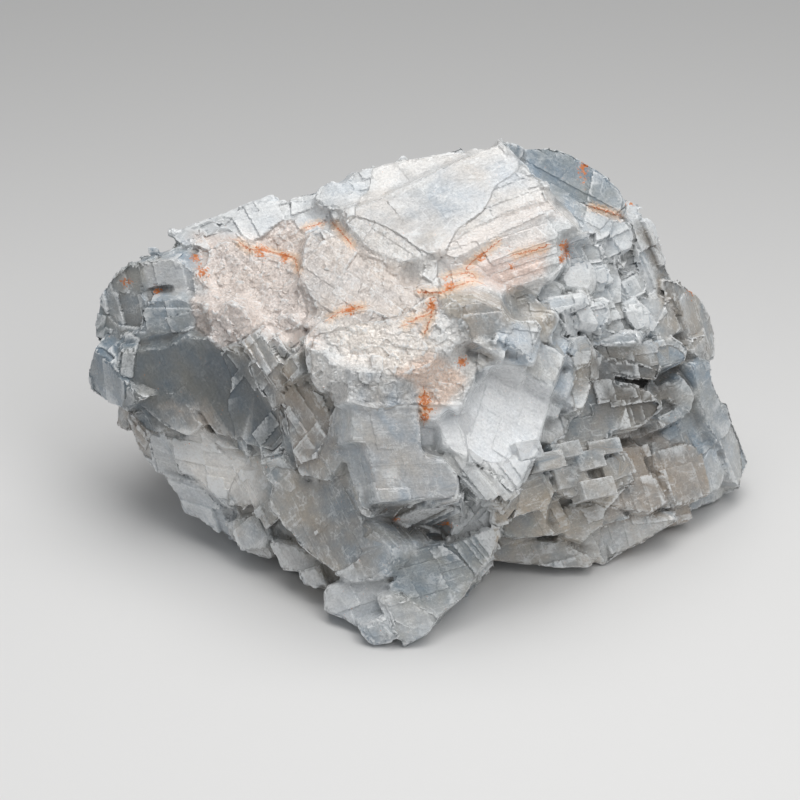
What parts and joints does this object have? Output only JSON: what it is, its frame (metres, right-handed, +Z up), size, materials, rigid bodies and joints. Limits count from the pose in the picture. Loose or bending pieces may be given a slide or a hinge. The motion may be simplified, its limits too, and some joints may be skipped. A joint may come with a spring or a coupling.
{
  "type": "rough blue calcite specimen",
  "caption": "Rough piece of pale blue calcite with stepped cleavage faces, a white and rust-veined top and a pointed toe, resting on its broken underside.",
  "frame": {"origin": "middle of the underside's bounding rectangle, on the surface that the stone rests on", "axes": "+Z up, +X to the right and +Y away from the viewer in the picture's view, so the toe points along -Y"},
  "size_m": [0.1716, 0.1136, 0.1003],
  "materials": {
    "calcite": "pale blue-grey calcite with glassy cleavage faces, white and pink patches and rust veins"
  },
  "bodies": {
    "root": {"calcite": "calcite"}
  },
  "joints": []
}
